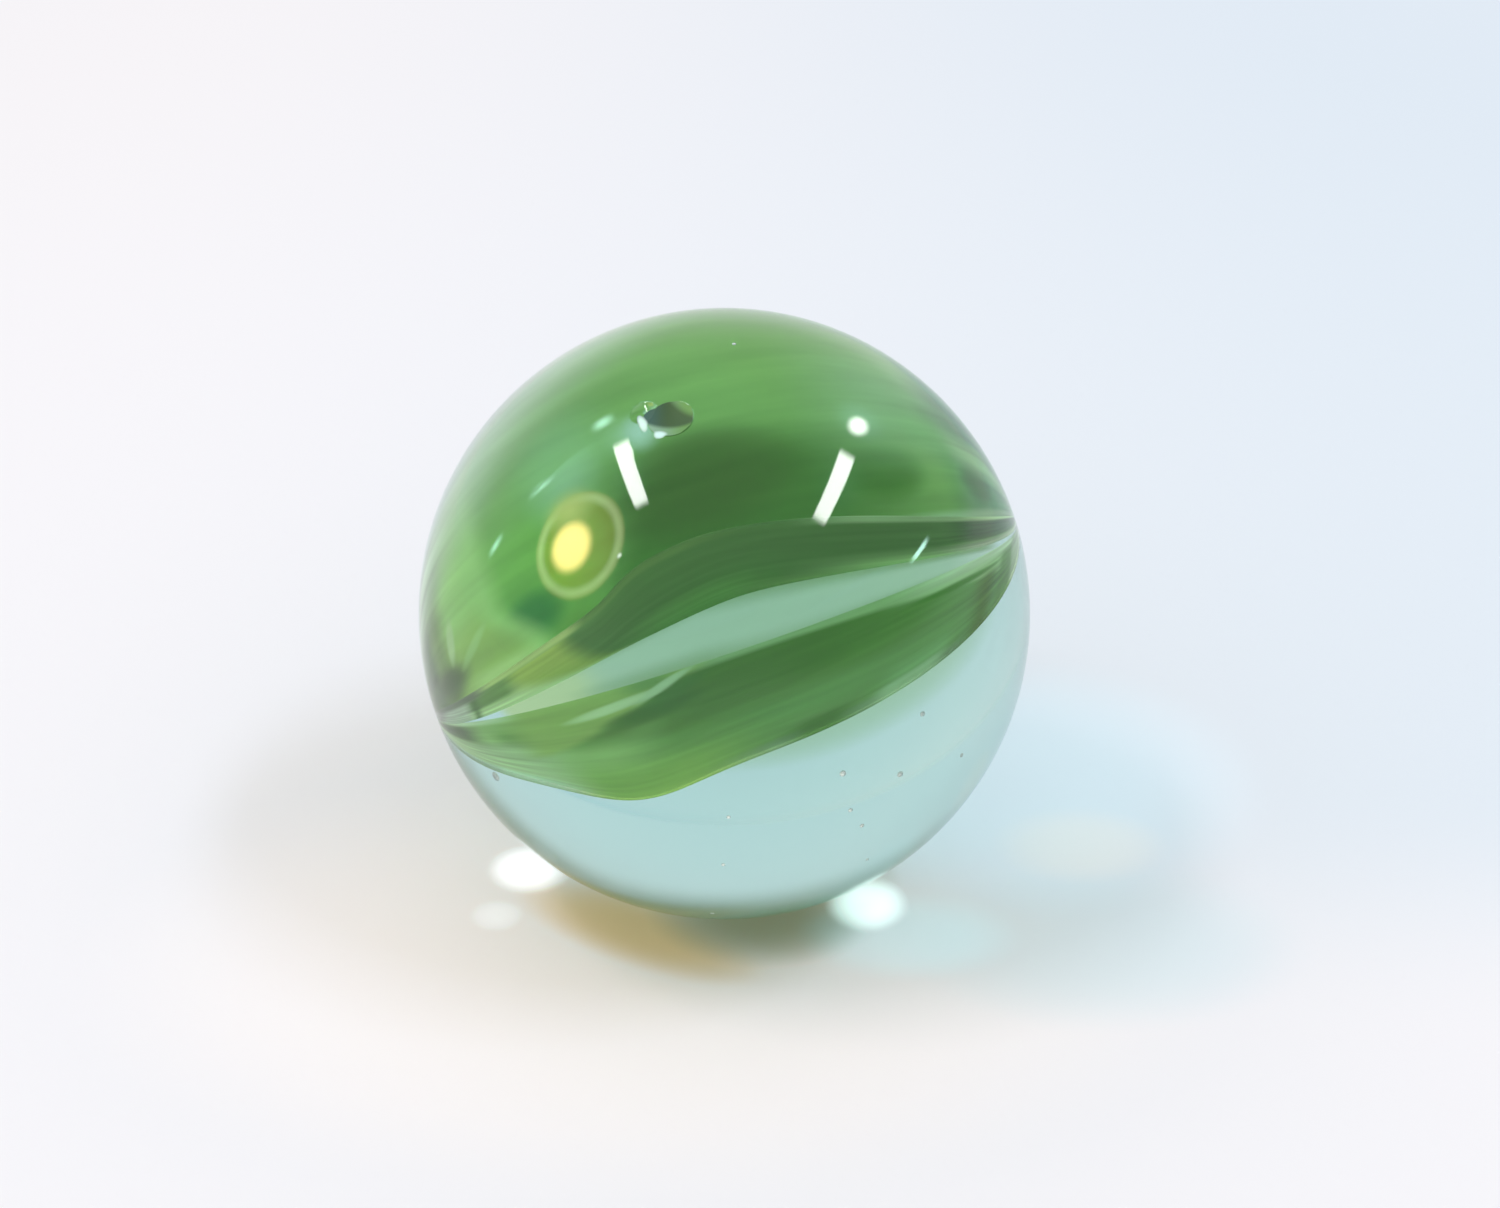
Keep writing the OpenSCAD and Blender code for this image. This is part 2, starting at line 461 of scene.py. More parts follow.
def chip_material():
    """The rough broken face of the nick: painted shade in its middle, and painted highlights where
    its edges catch light.
    """
    mat, tree, out = new_material("chip")
    shader = tree.nodes.new("ShaderNodeBsdfPrincipled")
    shader.inputs["Roughness"].default_value = 0.55
    shader.inputs["Specular IOR Level"].default_value = 0.2
    x, y = object_fields(tree)
    # Painted shade: the middle of the broken face is dark, bluish on the left and olive on the
    # right.
    hollow_shade = (y + x * 0.15).step(-3.22, -3.04) * (x + y).step(-3.38, -3.64)
    dark = mixed(tree, x.step(-1.9, -1.3), (0.062, 0.125, 0.100), (0.060, 0.110, 0.045))
    colour = mixed(tree, x.step(-1.7, -0.9), (0.26, 0.42, 0.28), (0.16, 0.33, 0.10))
    colour = mixed(tree, hollow_shade, colour, dark)
    for middle, radii, turn, pale in CHIP_EDGE_HIGHLIGHTS:
        colour = mixed(tree, pool(x, y, middle, radii, turn), colour, pale)
    tree.links.new(colour, shader.inputs["Base Color"])
    tree.links.new(shader.outputs[0], out.inputs["Surface"])
    return mat


def chip_faces(mesh):
    """1 on the broken face of the nick and on its edges with painted highlights, and 0 on clear
    glass.
    """
    middle = np.empty(3 * len(mesh.polygons), np.float32)
    mesh.polygons.foreach_get("center", middle)
    x, y, z = middle.reshape(-1, 3).T / MM

    def inside(place, radii, turn=0, size=1):
        cos, sin = math.cos(math.radians(turn)), math.sin(math.radians(turn))
        u, v = x - place[0], y - place[1]
        return np.hypot((u * cos + v * sin) / radii[0], (v * cos - u * sin) / radii[1]) < size

    flat = BALL_R / MM * math.cos(NICK_ELEVATION)
    place = (flat * math.cos(NICK_AZIMUTH), flat * math.sin(NICK_AZIMUTH))
    broken = inside(place, (CHIP_RADIUS, CHIP_RADIUS * math.sin(NICK_ELEVATION)))
    broken |= inside(*CHIP_SIDE)
    for place, radii, turn, _ in CHIP_EDGE_HIGHLIGHTS:
        broken |= inside(place, radii, turn, 0.75)
    return (broken & (z > 0)).astype(np.int32)


def seed_material():
    """Dull grey-green specks."""
    mat, tree, out = new_material("seeds")
    shader = tree.nodes.new("ShaderNodeBsdfPrincipled")
    shader.inputs["Base Color"].default_value = (0.26, 0.38, 0.36, 1)
    shader.inputs["Roughness"].default_value = 0.6
    tree.links.new(shader.outputs[0], out.inputs["Surface"])
    return mat


def leaf_fields(tree):
    """Latitude in degrees and share across a leaf, from its UV map."""
    along, around = uv_fields(tree, "Surface")
    across = (around * (2 * math.pi)).join("COSINE") * -0.5 + 0.5
    return (along - 0.5) * 180, across


def streaks(tree, lat, across):
    """Fine streaks that run from tip to tip, between -1 and 1."""
    place = tree.nodes.new("ShaderNodeCombineXYZ")
    tree.links.new((lat * 0.016).socket, place.inputs[0])
    tree.links.new((across * 7).socket, place.inputs[1])
    noise = tree.nodes.new("ShaderNodeTexNoise")
    noise.inputs["Scale"].default_value = 2.0
    noise.inputs["Detail"].default_value = 3.0
    tree.links.new(place.outputs[0], noise.inputs["Vector"])
    return (Field(tree, noise.outputs["Fac"]) - 0.5) * 2


def back_vane_paint(lat, across):
    """Pale at the rim and the left tip, darkest low in the middle in painted shade, bright to the
    right of it.
    """
    wide = across * 60
    arc = (lat + 4) * (lat + 4) * 0.0005 + across * across * 0.9
    drop = across + lat * 0.005
    turn_in = lat - across.step(0.22, 0.04) * 6
    return (0.22, 0.44, 0.14), [
        ("light crown", (0.21, 0.42, 0.13), arc.step(0.32, 0.52)),
        # dark heart, dark middle and dark right are painted shade, darkest low in the middle of the
        # vane.
        ("dark heart", (0.09, 0.24, 0.05),
         across.step(0.46, 0.28) * (lat - wide * 0.75).step(-24, -14) * lat.step(40, 16)),
        ("dark middle", (0.08, 0.18, 0.04), pool(lat, wide, (2, 17), (17, 11))),
        ("dark right", (0.08, 0.23, 0.04), pool(lat, wide, (28, 13), (8, 7))),
        ("bright right", (0.29, 0.50, 0.27), across.band(0.30, 0.64, 0.14) * lat.step(14, 32)),
        ("cool right", (0.09, 0.29, 0.11), lat.step(36, 46)),
        ("teal patch", (0.04, 0.17, 0.04), pool(lat, wide, (47, 12), (6, 7))),
        ("lit patch", (0.20, 0.42, 0.13), pool(lat, wide, (52, 20), (5, 5))),
        ("bright streak", (0.25, 0.49, 0.22), drop.band(0.50, 0.60, 0.06) * lat.step(30, 38)),
        ("teal left", (0.22, 0.50, 0.11), lat.step(-10, -22) * across.step(0.50, 0.30)),
        ("dark foot", (0.15, 0.35, 0.07), lat.step(-13, -18) * across.step(0.16, 0.04)),
        ("teal ring", (0.15, 0.40, 0.08), pool(lat, wide, (-27, 8), (9, 9))),
        ("teal spot", (0.05, 0.25, 0.06), pool(lat, wide, (-25.5, 7.5), (6.5, 5.5))),
        ("yellow left", (0.35, 0.60, 0.21), turn_in.step(-28, -33)),
        ("yellow foot", (0.31, 0.48, 0.14), turn_in.step(-31, -36) * across.step(0.30, 0.16)),
        ("pale shoulder", (0.20, 0.35, 0.14), lat.step(-38, -46) * across.step(0.36, 0.46)),
        ("olive tip", (0.18, 0.29, 0.09), lat.step(-41, -47) * across.step(0.50, 0.38)),
        ("dark tip", (0.08, 0.16, 0.04), lat.step(-48, -53) * across.step(0.50, 0.30)),
        ("dark foot left", (0.11, 0.17, 0.07), pool(lat, wide, (-47, 5), (9, 5))),
        ("pale ray", (0.42, 0.57, 0.30), pool(lat, wide, (-42.5, 13), (6, 1.6), 76)),
        ("low ray", (0.36, 0.55, 0.22), pool(lat, wide, (-37.5, 8.8), (6, 1.4), 36)),
        ("pale foot", (0.42, 0.60, 0.24), across.step(0.07, 0.03) * lat.band(-40, -27, 4)),
        ("pale right foot", (0.30, 0.48, 0.28),
         lat.step(20, 28) * (across - lat * 0.0006).step(0.065, 0.03)),
        ("pale crown", (0.51, 0.63, 0.50), (across - lat * 0.008).step(0.66, 0.98)),
        ("white rim", (0.45, 0.56, 0.55), (across - lat * 0.006).step(0.86, 1.0)),
        ("green rim", (0.21, 0.39, 0.14), across.step(0.66, 0.80) * lat.step(-4, 20)),
    ]


def front_vane_paint(lat, across):
    """Dark in the middle in painted shade of the side that faces down, brown and mint towards the
    left tip, lighter low down on the right.
    """
    line = lat + across * 12
    # The dark ground colour is painted shade: the side in view is the vane's underside.
    return (0.075, 0.205, 0.06), [
        ("lighter middle", (0.12, 0.33, 0.09), lat.band(-14, 8, 8) * across.step(0.7, 0.3)),
        ("lit lower edge", (0.18, 0.37, 0.13), across.step(0.45, 0.15) * lat.step(-4, 14)),
        ("light low right", (0.33, 0.60, 0.28), across.step(0.7, 0.3) * lat.step(8, 34)),
        ("light far right", (0.37, 0.52, 0.38), across.step(0.66, 0.46) * lat.step(34, 52)),
        ("deep right", (0.04, 0.12, 0.04), across.step(0.6, 0.8) * lat.step(46, 56)),
        ("yellow left", (0.25, 0.42, 0.10), (lat + across * 17).step(-11, -17)),
        ("mint left", (0.44, 0.66, 0.38), (lat + across * 45).step(-2, -14)),
        ("brown left", (0.12, 0.27, 0.08), across.step(0.60, 0.80) * line.step(-30, -36)),
        ("pale tip", (0.40, 0.54, 0.42), line.step(-46, -51)),
        ("grey tip", (0.24, 0.31, 0.26), lat.step(-68, -76)),
        ("dark line", (0.08, 0.20, 0.06), line.band(-47, -45, 1.5)),
        # light edge and edge left are painted highlights along the outer edge, where it catches
        # light.
        ("light edge", (0.24, 0.46, 0.22), across.step(0.95, 0.985) * lat.step(14, 34)),
        ("dim edge", (0.10, 0.24, 0.07), across.step(0.95, 0.985) * lat.step(12, -6)),
        ("edge left", (0.30, 0.48, 0.18), across.step(0.95, 0.985) * lat.step(-24, -30)),
        ("edge tip", (0.14, 0.22, 0.13), across.step(0.88, 0.96) * lat.step(-50, -58)),
    ]


def lower_vane_paint(lat, across):
    """Yellow-green on the left, with a dark band of painted shade along it and a painted highlight
    on the edge by the axis.
    """
    wide = across * 60
    foot = across + lat * 0.013
    return (0.12, 0.33, 0.09), [
        # dark band and darkest are painted shade, where the front vane hangs over this one.
        ("dark band", (0.10, 0.27, 0.06),
         across.step(0.64, 0.42) * lat.step(-26, -12) * lat.step(48, 26)),
        ("darkest", (0.08, 0.23, 0.045),
         across.step(0.46, 0.30) * lat.step(-16, -6) * lat.step(26, 8)),
        ("light right", (0.16, 0.41, 0.15),
         across.step(0.62, 0.86) * lat.step(20, 28) * lat.step(42, 36)),
        ("fringe", (0.14, 0.32, 0.15), across.step(0.90, 0.985) * lat.step(46, 40)),
        ("dark notch", (0.06, 0.22, 0.04), across.step(0.80, 0.90) * lat.band(5, 16, 4)),
        ("bright fringe", (0.25, 0.50, 0.27), across.step(0.86, 0.93) * lat.band(22, 37, 3)),
        ("yellow left", (0.26, 0.50, 0.18), lat.step(-12, -26)),
        ("yellow crown", (0.20, 0.44, 0.10),
         across.step(0.45, 0.80) * lat.step(4, -16) * lat.step(-44, -30)),
        ("dim tail", (0.12, 0.28, 0.07),
         across.band(0.16, 0.40, 0.07) * lat.step(-12, -22) * lat.step(-48, -40)),
        ("pale left", (0.34, 0.54, 0.31), lat.step(-28, -42) * across.step(0.22, 0.42)),
        ("dark left", (0.06, 0.15, 0.04),
         lat.step(-45, -55) * across.step(0.36, 0.26) * across.step(0.03, 0.10)),
        ("light foot", (0.27, 0.45, 0.14),
         foot.step(0.02, -0.06) * lat.step(10, 0) * lat.step(-44, -34)),
        ("dark under streak", (0.06, 0.19, 0.04), pool(lat, wide, (-15, 15), (11, 5), -14)),
        ("green wedge", (0.16, 0.34, 0.11),
         lat.band(-17, -10, 3) * across.step(0.14, 0.06)),
        ("dark under line", (0.07, 0.22, 0.05), pool(lat, wide, (-10.5, 9), (9, 4), -44)),
        # light streak, pale line and light line paint the highlight along the edge by the axis.
        ("light streak", (0.50, 0.70, 0.46), pool(lat, wide, (-20, 8.8), (11, 2.6), -14)),
        ("pale line", (0.42, 0.64, 0.42), pool(lat, wide, (-11.5, 5.5), (9, 1.8), -44)),
        ("left foot", (0.40, 0.58, 0.38), across.step(0.10, 0.03) * lat.step(-34, -42)),
        ("light line", (0.27, 0.49, 0.24),
         (across - lat * lat * 0.00012).step(0.085, 0.03) * lat.step(-10, -2)),
        ("pale right", (0.46, 0.65, 0.48), across.step(0.22, 0.08) * lat.step(22, 38)),
        ("dark seam", (0.06, 0.22, 0.03), pool(lat, wide, (42, 14), (15, 3), 8)),
        ("brown streak", (0.08, 0.20, 0.02), lat.band(46, 53, 4) * across.step(0.2, 0.4)),
        ("deep right", (0.09, 0.26, 0.04), lat.step(53, 57) * across.step(0.12, 0.25)),
        ("right tip", (0.26, 0.42, 0.24), (lat - across * 3).step(60, 64)),
        ("left fringe", (0.34, 0.57, 0.40), across.step(0.80, 0.98) * lat.step(-32, -44)),
    ]


def vane_material(name, paint):
    """Dense green glass: each colour of the paint, painted light and shade among them, is laid over
    those before it by its share.

    Fine streaks darken and lighten the paint, more so towards the tips.
    """
    mat, tree, out = new_material(name)
    lat, across = leaf_fields(tree)
    colour, layers = paint(lat, across)
    for _, over, share in layers:
        colour = mixed(tree, share, colour, over)
    grain = tree.nodes.new("ShaderNodeVectorMath")
    grain.operation = "SCALE"
    tree.links.new(colour, grain.inputs[0])
    depth = lat.join("ABSOLUTE").step(30, 62) * 0.6 + 0.26
    tree.links.new((streaks(tree, lat, across) * depth + 1).socket, grain.inputs["Scale"])
    diffuse = tree.nodes.new("ShaderNodeBsdfDiffuse")
    through = tree.nodes.new("ShaderNodeBsdfTranslucent")
    tree.links.new(grain.outputs[0], diffuse.inputs["Color"])
    tree.links.new(grain.outputs[0], through.inputs["Color"])
    mix = tree.nodes.new("ShaderNodeMixShader")
    mix.inputs[0].default_value = 0.5
    tree.links.new(diffuse.outputs[0], mix.inputs[1])
    tree.links.new(through.outputs[0], mix.inputs[2])
    tree.links.new(mix.outputs[0], out.inputs["Surface"])
    return mat


VANES = {
    "back_vane": (back_vane_form, 4, back_vane_paint),
    "front_vane": (front_vane_form, 1, front_vane_paint),
    "lower_vane": (lower_vane_form, 2, lower_vane_paint),
}


# ---------------------------------------------------------------------------
# Operators
# ---------------------------------------------------------------------------


class MARBLE_OT_clear_glass(bpy.types.Operator):
    """Build the clear ball with its nick and its specks."""

    bl_idname = "marble.clear_glass"
    bl_label = "Clear glass"

    def execute(self, context):
        settings = context.scene.marble_glass
        ball = closed_tube("glass_ball", *ball_surface(settings))
        ball.data.materials.append(clear_glass_material(settings))
        ball.data.materials.append(chip_material())
        ball.data.polygons.foreach_set("material_index", chip_faces(ball.data))
        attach(ball, "root")
        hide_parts("clear_glass")
        seeds = specks("glass_seeds", SEEDS, 0.15 * MM)
        seeds.data.materials.append(seed_material())
        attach(seeds, "root")
        return {"FINISHED"}


class MARBLE_OT_vanes(bpy.types.Operator):
    """Build the three green vanes."""

    bl_idname = "marble.vanes"
    bl_label = "Vanes"

    def execute(self, context):
        settings = context.scene.marble_vanes
        for node, (form, cup, paint) in VANES.items():
            vane = closed_tube(node + "_leaf", *vane_surface(settings, form, cup))
            vane.data.materials.append(vane_material(node, paint))
            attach(vane, "root")
            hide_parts(node)
        return {"FINISHED"}


# ---------------------------------------------------------------------------
# Stage
# ---------------------------------------------------------------------------

BACKDROP = (0.871, 0.896, 0.956)
# Painted tint of the light on the floor: warm on the left and at the front, cool and dimmer at the
# back on the right.
WARM_FLOOR = (0.930, 0.905, 0.930)
COOL_FLOOR = (0.745, 0.823, 0.913)
WARM_DIFFUSE = (0.93, 0.89, 0.89)
COOL_DIFFUSE = (0.78, 0.82, 0.86)
# Painted green light, in two lines on the floor behind the ball, seen through the glass.
GREEN_LINE = (0.36, 0.47, 0.25)


def floor_tones(tree, x, y):
    """The colours of the diffuse and of the plain part of the floor, x and y in millimetres.

    The floor is painted warm at the front and on the left, and cool and dimmer at the back on the
    right, in the tint of the light. Through the glass it also shows painted green and warm light
    that the vanes throw behind the ball.
    """
    cool = x.step(-24, 26) * y.step(-8, 4)
    plain = mixed(tree, cool, WARM_FLOOR, COOL_FLOOR)
    lit = mixed(tree, cool, WARM_DIFFUSE, COOL_DIFFUSE)
    # Painted light and shade on the diffuse floor: amber light in front, painted shade where the
    # ball touches, a cool shade and a warm pool of painted light on the right.
    for _, middle, radii, turn, colour in (
            ("amber light in front", (-2.3, -3.1), (4.2, 1.6), -33, (0.80, 0.60, 0.35)),
            ("contact", (0.9, -2.3), (3.2, 2.6), -8, (0.15, 0.31, 0.25)),
            ("cool shade on the right", (9.8, -3.6), (6.0, 4.2), 0, (0.77, 0.84, 0.86)),
            ("warm patch on the right", (9.7, 0.9), (2.6, 2.0), 0, (0.92, 0.87, 0.83))):
        lit = mixed(tree, pool(x, y, middle, radii, turn), lit, colour)
    through = Field(tree, tree.nodes.new("ShaderNodeLightPath").outputs["Is Transmission Ray"])
    bend = y - x * 0.45 - x.join("MAXIMUM", 0) * 0.4
    on_left = x.step(2.2, -0.2) * x.step(-6, -4)
    # Painted light seen only through the glass: pools of green and warm light, and two lines of
    # green light.
    for _, share, colour in (
            ("green light", pool(x, y, (0.0, 13.2), (7.5, 5.5)), (0.61, 0.69, 0.50)),
            ("warm light", x.step(0.6, 1.5) * x.step(8.5, 5.5) * y.step(13.2, 14.2) * y.step(23, 19),
             (0.77, 0.77, 0.43)),
            ("far line", bend.step(13.24, 13.48) * bend.step(14.6, 14.1) * on_left, GREEN_LINE),
            ("near line", bend.step(11.6, 12.0) * bend.step(13.10, 12.96) * on_left, GREEN_LINE)):
        lit = mixed(tree, share * through, lit, colour)
    return lit, plain


def floor_sparks(tree, x, y):
    """Light that the ball gathers: two wide glows, and two bright spots with their trails."""
    colour = (0.0, 0.0, 0.0)
    for middle, radii, bright in (
            ((-2.0, -4.5), (16.0, 10.5), (0.12, 0.07, 0.03)),
            ((8.0, 4.0), (7.5, 7.0), (0.05, 0.13, 0.16)),
            ((4.9, -3.3), (3.2, 2.2), (0.09, 0.15, 0.14)),
            ((-6.1, -2.4), (0.8, 0.8), (0.22, 0.20, 0.18)),
            ((3.8, -1.85), (1.2, 1.4), (0.60, 0.80, 0.76)),
            ((-5.3, -0.25), (1.25, 1.25), (0.62, 0.62, 0.62))):
        colour = mixed(tree, pool(x, y, middle, radii), colour, bright)
    return colour


def build_floor():
    """A large pale disc: diffuse round the ball, a plain tone farther off, then the backdrop's.

    The shares of the two changes of tone rise between distances from the ball in millimetres.
    """
    count, radius = 128, 4.0
    plain_from, plain_to = 20, 75
    backdrop_from, backdrop_to = 55, 110
    turn = np.linspace(0, 2 * math.pi, count, endpoint=False)
    points = np.stack([radius * np.cos(turn), radius * np.sin(turn), np.full(count, -BALL_R)],
                      axis=1)
    mesh = bpy.data.meshes.new("floor")
    mesh.from_pydata(points.tolist(), [], [list(range(count))])
    floor = linked_object("floor", mesh)
    mat, tree, out = new_material("floor")
    x, y = object_fields(tree)
    lit, plain = floor_tones(tree, x, y)
    away = (x * x + y * y).join("SQRT")
    diffuse = tree.nodes.new("ShaderNodeBsdfDiffuse")
    tree.links.new(lit, diffuse.inputs["Color"])
    sparks = tree.nodes.new("ShaderNodeEmission")
    tree.links.new(floor_sparks(tree, x, y), sparks.inputs["Color"])
    near = tree.nodes.new("ShaderNodeAddShader")
    tree.links.new(diffuse.outputs[0], near.inputs[0])
    tree.links.new(sparks.outputs[0], near.inputs[1])
    glow = tree.nodes.new("ShaderNodeEmission")
    plain = mixed(tree, away.step(backdrop_from, backdrop_to), plain, BACKDROP)
    tree.links.new(plain, glow.inputs["Color"])
    mixed_shaders(tree, out, away.step(plain_from, plain_to).socket, near, glow)
    mesh.materials.append(mat)


def build_world():
    """Plain light all round, with its own tone for what reflects and what shows through."""
    plain_light, bounced_light, ceiling = (0.76, 0.80, 0.80), (1.10, 1.12, 1.20), (0.24, 0.33, 0.28)
    bright_side, dim_side, high = (0.80, 0.82, 0.86), (0.42, 0.50, 0.50), (0.40, 0.44, 0.46)
    world = bpy.data.worlds.new("world")
    bpy.context.scene.world = world
    world.use_nodes = True
    tree = world.node_tree
    tree.nodes.clear()
    out = tree.nodes.new("ShaderNodeOutputWorld")
    path = tree.nodes.new("ShaderNodeLightPath")
    coords = tree.nodes.new("ShaderNodeTexCoord")
    east, height = axis_fields(tree, coords.outputs["Generated"], "X", "Z")
    rim = height + east.step(0.3, 0.9) * 0.27
    seen_through = mixed(tree, rim.step(0.30, 0.64), BACKDROP, ceiling)
    bounced = Field(tree, path.outputs["Diffuse Depth"]).step(0.4, 0.6)
    seen_through = mixed(tree, bounced, seen_through, bounced_light)
    horizon = mixed(tree, east.step(0.1, 0.9), bright_side, dim_side)
    reflected = mixed(tree, height.step(0.0, 0.7), horizon, high)
    reflected = mixed(tree, height.step(0.0, 0.16), BACKDROP, reflected)
    camera = Field(tree, path.outputs["Is Camera Ray"])
    glossy = Field(tree, path.outputs["Is Glossy Ray"])
    through = Field(tree, path.outputs["Is Transmission Ray"])
    colour = mixed(tree, camera, plain_light, BACKDROP)
    colour = mixed(tree, glossy, colour, reflected)
    colour = mixed(tree, through, colour, seen_through)
    back = tree.nodes.new("ShaderNodeBackground")
    tree.links.new(colour, back.inputs["Color"])
    tree.links.new(back.outputs[0], out.inputs[0])


def facing_ball(middle, towards):
    """A turn that points -Z from the middle at the ball's centre, with Y along towards."""
    back = Vector(middle).normalized()
    long = Vector(towards)
    long = (long - long.dot(back) * back).normalized()
    side = long.cross(back)
    return Matrix.Translation(middle) @ Matrix((side, long, back)).transposed().to_4x4()


def area_lamp(name, shape, size, colour, radiance, matrix):
    """An area lamp of that radiance, which shows neither itself nor its reflection."""
    light = bpy.data.lights.new(name, "AREA")
    light.shape = shape
    light.size = size[0]
    area = math.pi * (size[0] / 2) ** 2
    if shape == "RECTANGLE":
        light.size_y = size[1]
        area = size[0] * size[1]
    light.energy = math.pi * area * radiance
    light.color = colour
    lamp = linked_object(name, light)
    lamp.matrix_world = matrix
    lamp.visible_camera = False
    lamp.visible_glossy = False
    return lamp


def shine_card(name, start, end, width, colour, strength, soft=0.3, form="bar", away=0.7):
    """A glowing card that only reflections show.

    start and end are directions from the ball, and width is in degrees. The glow falls off over
    the soft outer share of the card. A bar has straight sides, an oval is round, and a ring
    is the outer edge of an oval.
    """
    a, b = Vector(start).normalized() * away, Vector(end).normalized() * away
    middle = ((a + b) / 2).normalized() * away
    half = np.array([away * math.tan(math.radians(width / 2)), (a - b).length / 2])
    turn = np.array(facing_ball(middle, a - b))
    corner = np.array([[-1, -1], [1, -1], [1, 1], [-1, 1]])
    flat = np.column_stack([corner * half, np.zeros(4), np.ones(4)])
    mesh = bpy.data.meshes.new(name)
    mesh.from_pydata((flat @ turn.T)[:, :3].tolist(), [], [(0, 1, 2, 3)])
    layer = mesh.uv_layers.new(name="Card")
    layer.data.foreach_set("uv", corner.astype(np.float32).ravel())
    card = linked_object(name, mesh)
    mat, tree, out = new_material(name)
    mat.cycles.emission_sampling = "NONE"
    x, y = uv_fields(tree, "Card")
    out_from_middle = (x * x + y * y).join("SQRT")
    if form == "bar":
        share = x.join("ABSOLUTE").step(1, 1 - soft) * y.join("ABSOLUTE").step(1, 1 - soft)
    else:
        share = out_from_middle.step(1, 1 - soft)
    if form == "ring":
        share = share * out_from_middle.step(1 - 2 * soft, 1 - soft)
    glow = tree.nodes.new("ShaderNodeEmission")
    glow.inputs["Color"].default_value = (*colour, 1)
    glow.inputs["Strength"].default_value = strength
    clear = tree.nodes.new("ShaderNodeBsdfTransparent")
    mixed_shaders(tree, out, share.socket, clear, glow)
    mesh.materials.append(mat)
    for kind in ("camera", "diffuse", "transmission", "volume_scatter", "shadow"):
        setattr(card, "visible_" + kind, False)


def build_tubes():
    """Two long tubes overhead, which run front to back."""
    high, width, radiance = 0.6, 0.084, 13
    for name, back, front, colour in (
            ("left_tube", (-0.52, 0.05), (-0.52, -0.40), (1.0, 0.85, 0.87)),
            ("right_tube", (0.62, 0.05), (0.58, -0.40), (0.62, 0.75, 1.0))):
        a, b = Vector((*back, 1)) * high, Vector((*front, 1)) * high
        area_lamp(name, "RECTANGLE", (width, (a - b).length), colour, radiance,
                  facing_ball((a + b) / 2, a - b))


def build_shine():
    """What the ball mirrors: two tubes, a warm round lamp on the left, small lights and hazes."""
    white, mint, haze, amber = (1, 1, 1), (0.6, 1.0, 0.9), (0.6, 0.95, 1.0), (1.0, 0.66, 0.24)
    shine_card("left_tube_shine", (-0.505, 0.308, 0.806), (-0.457, -0.258, 0.851), 5.9, white, 22)
    shine_card("right_tube_shine", (0.597, 0.298, 0.744), (0.532, -0.320, 0.784), 5.9, white, 22)
    for name, start, end, width, strength in (
            ("left_tube_haze", (-0.50, 0.40, 0.77), (-0.46, -0.30, 0.84), 22, 0.7),
            ("right_tube_haze", (0.61, 0.36, 0.70), (0.54, -0.36, 0.76), 22, 0.7),
            ("back_spot_haze", (0.552, 0.69, 0.47), (0.560, 0.34, 0.755), 17, 2.0),
            ("nick_haze", (-0.33, 0.37, 0.863), (-0.63, 0.24, 0.74), 28, 3.0),
            ("stroke_haze", (-0.50, 0.254, 0.83), (-0.93, 0.176, 0.327), 40, 3.4),
            ("teal_haze", (-0.93, 0.27, 0.25), (-0.42, 0.52, 0.74), 50, 1.7)):
        shine_card(name, start, end, width, haze, strength, 1.0, "oval", 0.75)
    shine_card("nick_glow", (-0.281, 0.328, 0.902), (-0.536, 0.266, 0.801), 24,
               (0.50, 0.68, 1.0), 7.5, 1.0, "oval", 0.74)
    shine_card("back_spot", (0.571, 0.582, 0.579), (0.578, 0.387, 0.719), 7.0, white, 26, 0.9,
               "oval")
    shine_card("right_window", (0.934, 0.17, 0.315), (0.931, -0.10, 0.349), 2.0, mint, 20, 0.8)
    shine_card("pale_left", (-0.598, 0.448, 0.665), (-0.475, 0.483, 0.735), 7.5, mint, 12, 1.0)
    for name, start, end, strength in (
            ("stroke_1", (-0.858, 0.320, 0.41), (-0.784, 0.305, 0.546), 4),
            ("stroke_2", (-0.871, 0.295, 0.394), (-0.760, 0.284, 0.585), 9),
            ("stroke_3", (-0.957, 0.279, 0.082), (-0.932, 0.269, 0.243), 9)):
        shine_card(name, start, end, 4.0, mint, strength, 1.0)
    shine_card("left_dot", (-0.60, -0.45, 0.663), (-0.615, -0.42, 0.663), 2.8, white, 14, 0.6,
               "oval")
    top, foot = (-0.668, 0.05, 0.742), (-0.825, -0.458, 0.337)
    shine_card("lamp_shade", top, foot, 36, (1.0, 0.42, 0.05), 2.2, 0.10, "oval", 0.70)
    shine_card("lamp_rim", top, foot, 37, (1.0, 0.95, 0.58), 5.4, 0.16, "ring", 0.69)
    shine_card("lamp_glow", (-0.66, -0.10, 0.745), (-0.89, 0.11, 0.44), 20, (1.0, 0.72, 0.34),
               6.0, 1.0, "oval", 0.687)
    shine_card("lamp_warmth", (-0.74, -0.03, 0.67), (-0.855, -0.36, 0.38), 26, (1.0, 0.42, 0.02),
               3.2, 1.0, "oval", 0.685)
    shine_card("lamp_bulb", (-0.775, -0.050, 0.630), (-0.840, -0.330, 0.430), 19.5, amber, 26, 0.5,
               "oval", 0.68)


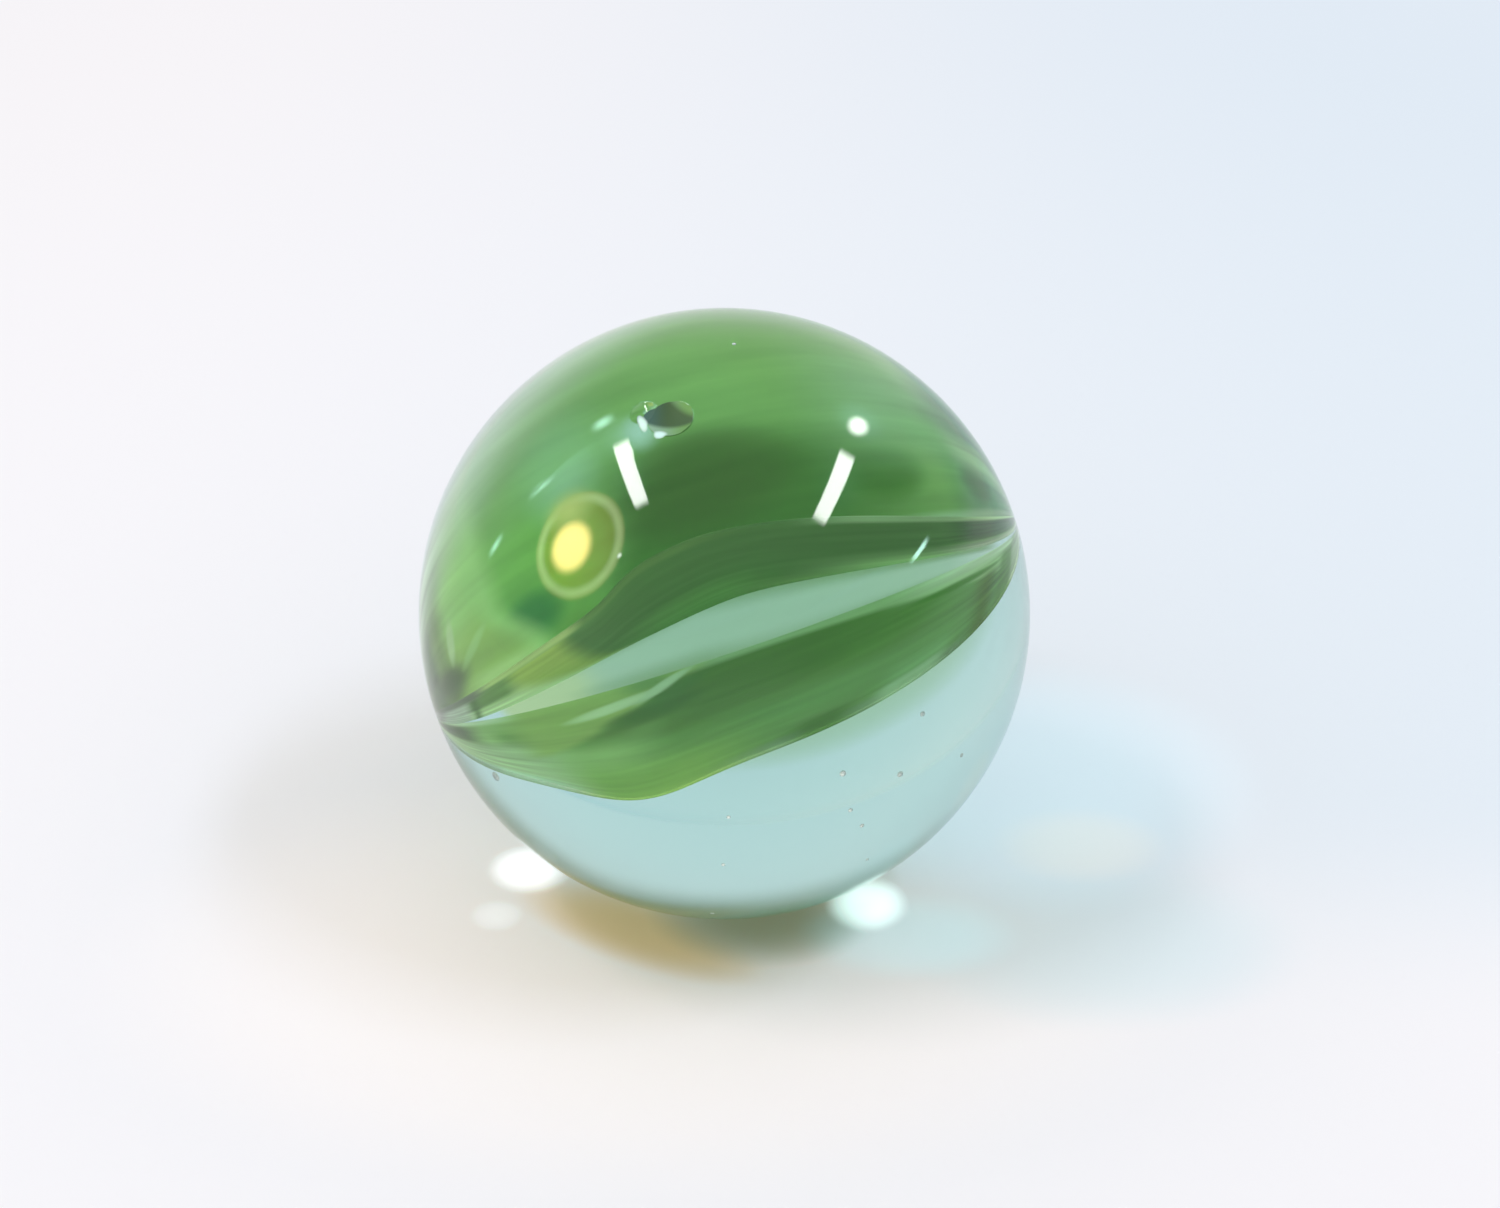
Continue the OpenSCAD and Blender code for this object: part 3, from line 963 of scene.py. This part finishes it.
def build_vane_lights():
    """Lamps close round the ball that light only what lies in the glass, at a plain level."""
    vanes = bpy.data.collections.new("vanes_lit")
    for name in ("back_vane_leaf", "front_vane_leaf", "lower_vane_leaf", "glass_seeds"):
        vanes.objects.link(bpy.data.objects[name])
    unblocked = bpy.data.collections.new("glass_lets_light_in")
    for obj in (bpy.data.objects["glass_ball"], *vanes.objects):
        unblocked.objects.link(obj)
    for link in unblocked.collection_objects:
        link.light_linking.link_state = "EXCLUDE"
    away, size, colour = 12 * MM, 12 * MM, (1.0, 0.62, 0.61)
    for name, place, radiance in (
            ("top", (0, 0.2, 1), 5.2), ("front", (0, -1, -0.1), 4.9), ("under", (0, 0, -1), 3.7),
            ("behind", (0, 1, 0.2), 3.3), ("left", (-1, 0, 0.2), 3.6),
            ("right", (1, 0, 0.2), 3.6)):
        matrix = facing_ball(Vector(place).normalized() * away, (0.3, 0.2, 0.5))
        lamp = area_lamp("fill_" + name, "DISK", (size,), colour, radiance, matrix)
        lamp.visible_transmission = False
        lamp.visible_volume_scatter = False
        lamp.light_linking.receiver_collection = vanes
        lamp.light_linking.blocker_collection = unblocked


def build_camera():
    """Places the camera so that the ball's outline has its size and place in the picture.

    The ball's radius and centre are in pixels of the picture, and lens and sensor in mm.
    """
    elevation = math.radians(31.4)
    lens, sensor = 100.0, 36.0
    ball_px, centre_x, centre_y = 306.0, 724.5, 613.5
    px = IMAGE_W / sensor
    reach = lens * BALL_R / (ball_px / px)
    distance = math.hypot(reach, BALL_R)
    forward = Vector((0, math.cos(elevation), -math.sin(elevation)))
    right = Vector((1, 0, 0))
    up = right.cross(forward)
    dx = (centre_x - IMAGE_W / 2) / px / lens * distance
    dy = -(centre_y - IMAGE_H / 2) / px / lens * distance
    data = bpy.data.cameras.new("camera")
    data.lens = lens
    data.sensor_width = sensor
    data.clip_start = 0.005
    data.clip_end = 20
    camera = linked_object("camera", data)
    camera.location = -(forward * distance + right * dx + up * dy)
    camera.rotation_euler = (math.pi / 2 - elevation, 0, 0)
    bpy.context.scene.camera = camera
    bpy.context.scene.view_settings.view_transform = "Standard"


class MARBLE_OT_stage(bpy.types.Operator):
    """Build the floor, the world, the lamps and the camera."""

    bl_idname = "marble.stage"
    bl_label = "Stage"

    def execute(self, context):
        build_floor()
        build_world()
        build_tubes()
        build_shine()
        build_vane_lights()
        build_camera()
        return {"FINISHED"}


class MARBLE_PT_panel(bpy.types.Panel):
    """Lists the steps and their settings."""

    bl_label = "Marble"
    bl_idname = "MARBLE_PT_panel"
    bl_space_type = "VIEW_3D"
    bl_region_type = "UI"
    bl_category = "Marble"

    def draw(self, context):
        layout = self.layout
        for operator in OPERATORS:
            layout.operator(operator.bl_idname)
        for name, group in SETTINGS.items():
            for setting in group.__annotations__:
                layout.prop(getattr(context.scene, name), setting)


OPERATORS = (MARBLE_OT_clear_glass, MARBLE_OT_vanes, MARBLE_OT_stage)
SETTINGS = {"marble_glass": MarbleGlassSettings, "marble_vanes": MarbleVaneSettings}


def register():
    for group in SETTINGS.values():
        bpy.utils.register_class(group)
    for name, group in SETTINGS.items():
        setattr(bpy.types.Scene, name, PointerProperty(type=group))
    for operator in OPERATORS:
        bpy.utils.register_class(operator)
    bpy.utils.register_class(MARBLE_PT_panel)


def unregister():
    bpy.utils.unregister_class(MARBLE_PT_panel)
    for operator in reversed(OPERATORS):
        bpy.utils.unregister_class(operator)
    for name in SETTINGS:
        delattr(bpy.types.Scene, name)
    for group in SETTINGS.values():
        bpy.utils.unregister_class(group)


def main():
    """Builds everything."""
    register()
    for step in (bpy.ops.marble.clear_glass, bpy.ops.marble.vanes, bpy.ops.marble.stage):
        step()
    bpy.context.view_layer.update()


if __name__ == "__main__":
    main()
